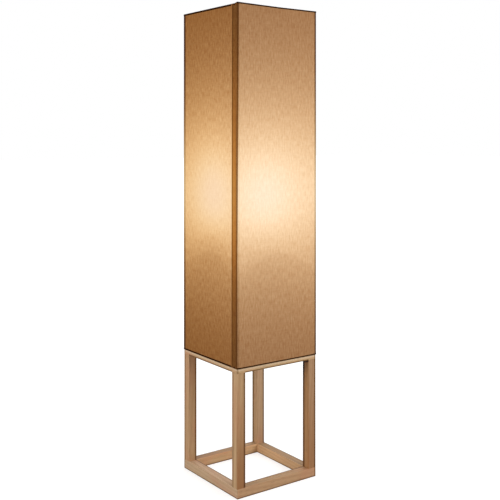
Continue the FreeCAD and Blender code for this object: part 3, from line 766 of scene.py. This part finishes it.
far_squared = calculate(tree, "MULTIPLY_ADD", rise, rise, product(tree, run, run))
wall_distance = glow_in["Wall Distance"]
wall_squared = product(tree, wall_distance, wall_distance)
falloff = calculate(
    tree, "POWER", calculate(tree, "DIVIDE", wall_squared, far_squared), falloff_power)
slope = calculate(tree, "DIVIDE", rise, run)
shade_top_slope = calculate(tree, "ADD", glow_in["Shade Slope"], glow_in["Shade Blur"])
unshaded = ranged(tree, slope, glow_in["Shade Slope"], shade_top_slope, glow_in["Shade Leak"], 1.0)
wall_slope = calculate(tree, "DIVIDE", rise, wall_run)
arch_top_slope = calculate(tree, "ADD", glow_in["Arch Slope"], glow_in["Arch Blur"])
arch_floor = calculate(tree, "SUBTRACT", 1.0, glow_in["Arch Depth"])
above_arch = ranged(tree, wall_slope, glow_in["Arch Slope"], arch_top_slope, arch_floor, 1.0)
direct = product(tree, unshaded, above_arch, falloff, glow_in["Direct"])

from_middle = calculate(
    tree, "SQRT", calculate(tree, "MULTIPLY_ADD", rise, rise, soft_middle ** 2))
reach = ranged(tree, rise, -reach_blend, reach_blend, glow_in["Reach Down"], glow_in["Reach Up"])
fade = calculate(tree, "DIVIDE", calculate(tree, "SUBTRACT", soft_middle, from_middle), reach)
fade = calculate(tree, "EXPONENT", fade)
broad = product(tree, fade, glow_in["Broad"])
set_sockets(tree, glow_out, {"Light": calculate(tree, "ADD", direct, broad)})

film_cloud_scale = 45.0
film_skin_scale = 1200.0
film_bump = 0.00003
film_light = (0.80, 0.76, 0.67, 1)
film_dark = (0.74, 0.69, 0.59, 1)
film_unlit = (0.03, 0.014, 0.004, 1)
film_lit = (0.65, 0.44, 0.22, 1)
# The liner's inner face glows with painted light: the bulb's light on it, given as emission.
liner, tree, shader, place = new_material("liner_plastic", {
    "Roughness": 0.45, "Emission Strength": 1.0})
liner_glow = use_group(tree, "Lamp Glow", {"Vector": place, "Lamp Height": lamp_height})["Light"]
liner_cloud = noise_value(tree, place, film_cloud_scale, detail=3.0)
liner_skin = noise_value(tree, place, film_skin_scale)
set_sockets(tree, shader, {
    "Base Color": mixed(tree, liner_cloud, film_light, film_dark),
    "Emission Color": mixed(tree, liner_glow, film_unlit, film_lit),
    "Normal": bumped(tree, liner_skin, film_bump)})

batten_wood = {
    direction: timber(
        "batten_" + direction, direction, cut=(0.3, 0.1, 0.2), light=(0.60, 0.46, 0.30, 1),
        dark=(0.47, 0.33, 0.19, 1), blush=(0.56, 0.40, 0.26, 1), spacing=0.004, contrast=0.8)[0]
    for direction in ("x", "y")}
for side, direction in side_axes.items():
    finish(liner, f"shade_liner_{side}")
    finish(batten_wood[direction], f"shade_batten_{side}")

finish(moulding(
    "wire_paint", colour=(0.74, 0.71, 0.64, 1), shade=0.9, dust=0.1, skin_scale=900.0,
    smooth=0.3, rough=0.45, bump=0.00003), "shade_top_wire")


# Shade cloth. One length of linen folded round the liner and stuck to it, lapped for the width
# of the seam on the left side beside the front corner, where it is two layers thick.
slub_range = (0.6, 1.4)
slub_height = 0.6

tree, weave_in, weave_out = new_group(
    "Linen Weave",
    {"Vector": (0.0, 0.0, 0.0), "Yarn Spacing": 0.0007, "Slub Length": 0.016,
     "Slub Width": 0.0038, "Warp Share": 1.5},
    {"Height": 1, "Slubs": 1})
weave_axes = axes_of(tree, weave_in["Vector"])
yarn_turn = calculate(tree, "DIVIDE", math.pi, weave_in["Yarn Spacing"])
warp_wave, weft_wave = [
    calculate(tree, "ABSOLUTE", calculate(
        tree, "SINE", product(tree, weave_axes[axis], yarn_turn)))
    for axis in "XY"]
slub_run, slub_step = [
    calculate(tree, "DIVIDE", 1.0, weave_in[size]) for size in ("Slub Length", "Slub Width")]
weft_slubs, warp_slubs = [
    noise_value(tree, stretched(tree, weave_in["Vector"], scale), 1.0)
    for scale in (vector_of(tree, slub_run, slub_step, 1.0),
                  vector_of(tree, slub_step, slub_run, 1.0))]
weft_share = calculate(tree, "SUBTRACT", 2.0, weave_in["Warp Share"])
slubs = calculate(
    tree, "MULTIPLY_ADD", warp_slubs, weave_in["Warp Share"],
    product(tree, weft_slubs, weft_share))
set_sockets(tree, weave_out, {
    "Slubs": ranged(tree, slubs, *slub_range, -1.0, 1.0, "LINEAR"),
    "Height": calculate(tree, "MULTIPLY_ADD", slubs, slub_height, product(
        tree, warp_wave, weft_wave))})

cloth_thickness = 0.00036
cloth_inset = 0.0004
cloth_half = shade_half - cloth_inset
fold_radius = 0.0011
seam_width = 0.023
seam_ramp = 0.005
lap_lift = 1.1 * cloth_thickness
hem_width = 0.0042
hem_lift = 0.0003
hem_reach = 1.5
cloth_rows = 64
cloth_columns = 72
cloth_ripple = 0.00018
ripple_scale = 18
ripple_start = 0.03
fold_steps = 4
flat_half = cloth_half - fold_radius
fold_arc = fold_radius * math.pi / 2
side_length = 2 * flat_half + fold_arc
lap_length = seam_width - fold_radius
cloth_length = lap_length + 4 * side_length
cloth_height = cloth_high.z - cloth_low.z
seam_start = cloth_length - lap_length


def wall_place(distance):
    """The point and the outward way at a distance along the folded cloth, seen from above."""
    if distance < lap_length:
        return Vector((-cloth_half, lap_length - distance - flat_half, 0)), Vector((-1, 0, 0))
    side, rest = divmod(distance - lap_length, side_length)
    if side > 3:
        side, rest = 3, side_length
    angle = min(rest / fold_arc, 1.0) * math.pi / 2
    outward = Vector((-math.cos(angle), -math.sin(angle), 0))
    point = Vector((-flat_half, -flat_half, 0)) + fold_radius * outward
    point.x += max(rest - fold_arc, 0.0)
    turn = Matrix.Rotation(side * math.pi / 2, 3, "Z")
    return turn @ point, turn @ outward


def smooth_step(value):
    """A soft step from nought to one."""
    value = min(max(value, 0.0), 1.0)
    return value * value * (3 - 2 * value)


def seam_lift(distance):
    """How far the upper layer stands off over the lap and over the two turned hems."""
    lift = lap_lift * smooth_step((distance - seam_start + seam_ramp) / seam_ramp)
    for hem in (seam_start + hem_width / 2, cloth_length - hem_width / 2):
        lift += hem_lift * smooth_step(hem_reach - abs(distance - hem) / hem_width)
    return lift


cloth_mesh = bmesh.new()
bmesh.ops.create_grid(cloth_mesh, x_segments=cloth_columns, y_segments=cloth_rows, size=0.5)
bmesh.ops.scale(cloth_mesh, vec=(cloth_length, cloth_height, 1), verts=cloth_mesh.verts)
bmesh.ops.translate(
    cloth_mesh, vec=(cloth_length / 2, cloth_low.z + cloth_height / 2, 0), verts=cloth_mesh.verts)
cuts = [lap_length + side * side_length + step * fold_arc / fold_steps
        for side in range(4) for step in range(fold_steps + 1)]
cuts += [seam_start + shift for shift in (-seam_ramp, 0, hem_width, 2 * hem_width)]
cuts += [cloth_length - 2 * hem_width, cloth_length - hem_width]
for cut in cuts:
    bmesh.ops.bisect_plane(
        cloth_mesh, geom=cloth_mesh.verts[:] + cloth_mesh.edges[:] + cloth_mesh.faces[:],
        plane_co=(cut, 0, 0), plane_no=(1, 0, 0))
cloth_uv = cloth_mesh.loops.layers.uv.new("cloth")
for face in cloth_mesh.faces:
    face.smooth = True
    for loop in face.loops:
        loop[cloth_uv].uv = loop.vert.co.xy
for vert in cloth_mesh.verts:
    distance, height = vert.co.xy
    point, outward = wall_place(distance)
    edge_room = smooth_step(min(height - cloth_low.z, cloth_high.z - height) / ripple_start)
    ripple = noise.noise(Vector((point.x, point.y, height)) * ripple_scale)
    ripple = cloth_ripple * ripple * edge_room
    vert.co = point + outward * (seam_lift(distance) + max(ripple, 0)) + Vector((0, 0, height))
for edge in cloth_mesh.edges:
    edge.smooth = not edge.is_boundary

# Each channel of the light that comes through nears its full strength at its own rate.
full_glow = (0.808, 0.741, 0.661)
glow_rates = (1.814, 1.278, 0.742)
linen, tree, shader, place = new_material("tan_linen", {
    "Roughness": 0.85, "Specular IOR Level": 0.1, "Emission Strength": 1.0})
cloth_flat = add_node(tree, "TexCoord").outputs["UV"]
weave = use_group(tree, "Linen Weave", {"Vector": cloth_flat})
cloth_glow = use_group(tree, "Lamp Glow", {
    "Vector": place, "Lean": (-0.0423, -0.0184, 0.0), "Lamp Height": 0.7459,
    "Wall Distance": shade_half, "Broad": 0.796, "Reach Up": 0.1494, "Reach Down": 0.1379,
    "Shade Slope": -2.331, "Shade Blur": 2.077, "Shade Leak": 0.0, "Arch Slope": -1.24,
    "Arch Blur": 0.09, "Arch Depth": 0.52})["Light"]
unlit = [calculate(tree, "EXPONENT", product(tree, cloth_glow, -rate)) for rate in glow_rates]
emitted = combined(tree, [
    calculate(tree, "MULTIPLY_ADD", dark, -full, full) for dark, full in zip(unlit, full_glow)])

cloth_axes = axes_of(tree, place)
side_way = calculate(tree, "ABSOLUTE", cloth_axes["X"])
front_way = calculate(tree, "ABSOLUTE", cloth_axes["Y"])
front_walls = calculate(tree, "GREATER_THAN", front_way, side_way)
back_walls = calculate(
    tree, "GREATER_THAN", calculate(tree, "ADD", cloth_axes["X"], cloth_axes["Y"]), 0.0)
same_side = product(tree, cloth_axes["X"], cloth_axes["Y"])


def by_wall(side, front):
    """A value for the left and right walls, and another for the front and back ones."""
    return calculate(tree, "MULTIPLY_ADD", front_walls, front - side, side)


# The folds. Their lines are lighter at the seam's corner, at the one across and on the back.
# The folds' darkening is partly their creases' own and partly painted shade.
half_squared = shade_half ** 2
light_fold = 0.3
back_fold = 0.3
side_fold_width = 0.0077
front_fold_width = 0.0045
fold_fade = (1.1, 1.5)
fold_depth = ranged(tree, same_side, -half_squared / 2, half_squared / 2, 1.0, light_fold)
fold_depth = product(tree, fold_depth, calculate(
    tree, "MULTIPLY_ADD", back_walls, back_fold - 1.0, 1.0))
from_fold = calculate(
    tree, "SUBTRACT", shade_half, calculate(tree, "MINIMUM", side_way, front_way))
at_fold = ranged(tree, calculate(
    tree, "DIVIDE", from_fold, by_wall(side_fold_width, front_fold_width)), *fold_fade, 1.0, 0.0)
at_fold = product(tree, at_fold, fold_depth)

# The seam. It leans a little, and its dark edge turns further round the corner towards the top.
seam_edge = 0.0006
lean_rise = (0.55, 1.20)
lean_width = (-0.0006, 0.0016)
turn_rise = (0.50, 1.22)
turn_width = 0.0043
side_turn_width = 0.0014
last_hem_rise = (0.88, 1.04)
last_hem_depth = 0.25
cloth_run = axes_of(tree, cloth_flat)["X"]
seam_lean = ranged(tree, cloth_axes["Z"], *lean_rise, *lean_width, "LINEAR")
seam_run = calculate(tree, "SUBTRACT", cloth_run, seam_lean)
seam_mask = ranged(tree, seam_run, seam_start - seam_edge, seam_start + seam_edge)
first_hem = calculate(tree, "COMPARE", seam_run, seam_start + hem_width / 2, hem_width / 2)
last_hem = calculate(tree, "COMPARE", cloth_run, cloth_length - hem_width / 2, hem_width / 2)
last_hem = product(tree, last_hem, ranged(
    tree, cloth_axes["Z"], *last_hem_rise, 1.0, last_hem_depth))
turned_in = ranged(tree, cloth_axes["Z"], *turn_rise, 0.0, turn_width, "LINEAR")
turned_in = ranged(tree, front_walls, 0.0, 1.0, side_turn_width, turned_in, "LINEAR")
seam_corner = calculate(
    tree, "SUBTRACT", calculate(tree, "GREATER_THAN", same_side, 0.0), back_walls)
seam_corner = calculate(tree, "GREATER_THAN", seam_corner, 0.5)
seam_turn = product(tree, calculate(tree, "LESS_THAN", from_fold, turned_in), seam_corner)
last_hem = calculate(tree, "MAXIMUM", last_hem, seam_turn)
off_seam = calculate(tree, "SUBTRACT", 1.0, calculate(tree, "MAXIMUM", seam_mask, seam_turn))
at_fold = product(tree, at_fold, off_seam)

# The slubs, which show less where more light comes through.
slub_shares = (0.16, 0.25, 0.35)
side_slubs = 1.4
front_slubs = 1.0
slub_depth = calculate(tree, "DIVIDE", by_wall(side_slubs, front_slubs), calculate(
    tree, "ADD", cloth_glow, 1.0))
slubs_seen = product(tree, weave["Slubs"], slub_depth)
slub_colour = combined(
    tree, [calculate(tree, "MULTIPLY_ADD", slubs_seen, share, 1.0) for share in slub_shares])

# What the lap, hems and folds let through, and painted light dimming all walls but the front.
through_lap = (0.54, 0.29, 0.09, 1)
through_first_hem = (0.24, 0.13, 0.025, 1)
through_last_hem = (0.18, 0.09, 0.018, 1)
# Painted light: the left wall dimmest away from the seam, the right and back ones a little dim.
left_wall_painted_light = (0.885, 0.775, 0.59, 1)
seam_end_painted_light = (0.985, 0.90, 0.765, 1)
back_wall_painted_light = (0.97, 0.91, 0.82, 1)
fold_light = (0.2, 1.3)
fold_shades = (0.50, 0.14)
fold_top_rise = (0.85, 1.15)
side_fold_top = 0.42
front_fold_top = 0.28
fold_powers = (0.8, 1.0, 1.5)
through_seam = layered(
    tree, white, (seam_mask, through_lap), (first_hem, through_first_hem),
    (last_hem, through_last_hem))
along_side = ranged(tree, same_side, -half_squared, half_squared, 0.0, 1.0, "LINEAR")
walls_painted_light = layered(
    tree, left_wall_painted_light, (along_side, seam_end_painted_light), (front_walls, white),
    (back_walls, back_wall_painted_light))
fold_shade = ranged(tree, cloth_glow, *fold_light, *fold_shades)
fold_shade = calculate(tree, "ADD", fold_shade, ranged(
    tree, cloth_axes["Z"], *fold_top_rise, 0.0, by_wall(side_fold_top, front_fold_top)))
fold_left = calculate(tree, "SUBTRACT", 1.0, product(tree, at_fold, fold_shade))
through_fold = combined(tree, [calculate(tree, "POWER", fold_left, power) for power in fold_powers])
for through in (through_seam, walls_painted_light, through_fold, slub_colour):
    emitted = tinted(tree, emitted, through)

# Painted light: one tan linen, shaded on the left wall and lit on the front, right and back.
linen_side_shaded = (0.200, 0.068, 0.010, 1)
linen_front_lit = (0.285, 0.130, 0.050, 1)
linen_back_lit = (0.290, 0.122, 0.036, 1)
lap_colour = (0.100, 0.040, 0.008, 1)
first_hem_colour = (0.075, 0.026, 0.003, 1)
last_hem_colour = (0.088, 0.030, 0.005, 1)
fold_shade_colour = (0.16, 0.08, 0.04, 1)
cloth_bump = 0.00012
cloth_colour = layered(
    tree, linen_side_shaded, (front_walls, linen_front_lit), (back_walls, linen_back_lit),
    (seam_mask, lap_colour), (first_hem, first_hem_colour), (last_hem, last_hem_colour))
cloth_colour = tinted(tree, cloth_colour, mixed(tree, at_fold, white, fold_shade_colour))
set_sockets(tree, shader, {
    "Base Color": tinted(tree, cloth_colour, slub_colour),
    "Emission Color": emitted,
    "Normal": bumped(tree, weave["Height"], cloth_bump)})

cloth = new_piece("linen_cloth", cloth_mesh, linen, "shade")
cloth_layer = cloth.modifiers.new("thickness", "SOLIDIFY")
cloth_layer.thickness = cloth_thickness
cloth_layer.offset = 1.0
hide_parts("shade_cloth")


# Binding. Dark brown cotton tape stuck over the shade's upper and lower edges. The upper one is
# rolled over the wire, and its ends lap on top of the seam, where it stands a little higher.
def tape_round(profile):
    """Carries a closed profile of (outward, height) points round the shade's square."""
    mesh = bmesh.new()
    flat = shade_half - fold_radius
    step = 2 * flat / tape_columns
    line = [mesh.verts.new((-flat, -shade_half - outward, height)) for outward, height in profile]
    edges = [mesh.edges.new(pair) for pair in zip(line, line[1:] + line[:1])]
    for side in range(4):
        way = Matrix.Rotation(side * math.pi / 2, 3, "Z")
        for _ in range(tape_columns):
            made = bmesh.ops.extrude_edge_only(mesh, edges=edges)["geom"]
            edges = [item for item in made if isinstance(item, bmesh.types.BMEdge)]
            moved = {vert for edge in edges for vert in edge.verts}
            bmesh.ops.translate(mesh, vec=way @ Vector((step, 0, 0)), verts=list(moved))
        turned = bmesh.ops.spin(
            mesh, geom=edges + list(moved), cent=way @ Vector((flat, -flat, 0)), axis=(0, 0, 1),
            angle=math.pi / 2, steps=tape_corner_steps, use_merge=False)["geom_last"]
        edges = [item for item in turned if isinstance(item, bmesh.types.BMEdge)]
    close_up(mesh)
    return mesh


def ripple_tape(mesh, free_edge, spread, rise_at_seam):
    """Lets a tape's edges wander a little, covers more of the left side than of the front, and
    lifts the tape over the seam's corner, from where it comes down slowly along the front."""
    for vert in mesh.verts:
        along_left, along_front = vert.co.y + shade_half, vert.co.x + shade_half
        rise = reach = 0
        if along_front < min(along_left, tape_depth):
            rise = smooth_step((seam_rise_end - along_left) / seam_rise_run)
            reach = smooth_step((shade_half - abs(vert.co.y)) / spread_start)
        elif along_left < tape_depth:
            rise = max(1 - along_front / front_rise_run, 0)
            reach = -smooth_step((shade_half - abs(vert.co.x)) / spread_start)
        if abs(vert.co.z - free_edge) < tape_thickness / 2:
            vert.co.z += spread * reach
        wander = tape_ripple * noise.noise(vert.co * tape_ripple_scale)
        vert.co.z += wander + rise_at_seam * rise


tape_thickness = 0.0004
tape_depth = 0.006
tape_columns = 24
tape_corner_steps = 6
tape_ripple = 0.00012
tape_ripple_scale = 60
tape_spread = 0.0006
spread_start = 0.02
seam_rise = 0.0022
seam_rise_end = 0.011
seam_rise_run = 0.008
front_rise_run = 0.13
tape_bump = 0.0001
tape_dark = (0.020, 0.005, 0.0007, 1)
tape_light = (0.042, 0.012, 0.0018, 1)

tape, tree, shader, place = new_material("binding_tape", {
    "Roughness": 0.9, "Specular IOR Level": 0.0})
tape_axes = axes_of(tree, place)
tape_run = calculate(tree, "ADD", tape_axes["X"], tape_axes["Y"])
tape_weave = use_group(tree, "Linen Weave", {
    "Vector": vector_of(tree, tape_run, tape_axes["Z"]), "Yarn Spacing": 0.0005,
    "Slub Length": 0.006, "Slub Width": 0.0006, "Warp Share": 1.0})
tape_shade = ranged(tree, tape_weave["Slubs"], -1.0, 1.0, 0.0, 1.0, "LINEAR")
set_sockets(tree, shader, {
    "Base Color": mixed(tree, tape_shade, tape_dark, tape_light),
    "Normal": bumped(tree, tape_weave["Height"], tape_bump)})

# The upper tape's section, as points outward of the cloth and below its rim: up the outside,
# over the rim and under the wire, then back inside the roll and down against the cloth.
top_section = [
    (0.0004, 0.0042), (0.0004, 0.0009), (0.0001, 0.0002), (-0.0008, 0.0), (-0.0031, 0.0002),
    (-0.0037, 0.0012), (-0.0037, 0.0031), (-0.0029, 0.0043), (-0.0023, 0.0039),
    (-0.0033, 0.0029), (-0.0033, 0.0014), (-0.0012, 0.0005), (0.00002, 0.0010),
    (0.00002, 0.0042)]
_, top_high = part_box("shade_top_binding")
top_profile = [(outward, top_high.z - below) for outward, below in top_section]
top_tape_mesh = tape_round(top_profile)
ripple_tape(top_tape_mesh, top_profile[0][1], -tape_spread, seam_rise)
top_tape = new_piece("top_tape", top_tape_mesh, tape, "shade")
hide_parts("shade_top_binding")

foot_low, foot_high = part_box("shade_foot_binding")
foot_stand = 0.00002
foot_inner = 0.0009
foot_past = 0.0003
foot_ease = 0.0003
foot_round = 0.0002
foot_lip = 0.0001
foot_top = foot_high.z + foot_past
foot_back = foot_inner + tape_thickness
foot_profile = [
    (foot_stand, foot_top), (foot_stand, foot_low.z + tape_thickness),
    (-foot_inner, foot_low.z + tape_thickness), (-foot_inner, foot_high.z),
    (-foot_back, foot_high.z), (-foot_back, foot_low.z + foot_round), (-foot_inner, foot_low.z),
    (foot_lip, foot_low.z), (tape_thickness, foot_low.z + foot_ease), (tape_thickness, foot_top)]
foot_tape_mesh = tape_round(foot_profile)
ripple_tape(foot_tape_mesh, foot_top, tape_spread, 0.0)
foot_tape = new_piece("foot_tape", foot_tape_mesh, tape, "shade")
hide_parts("shade_foot_binding")
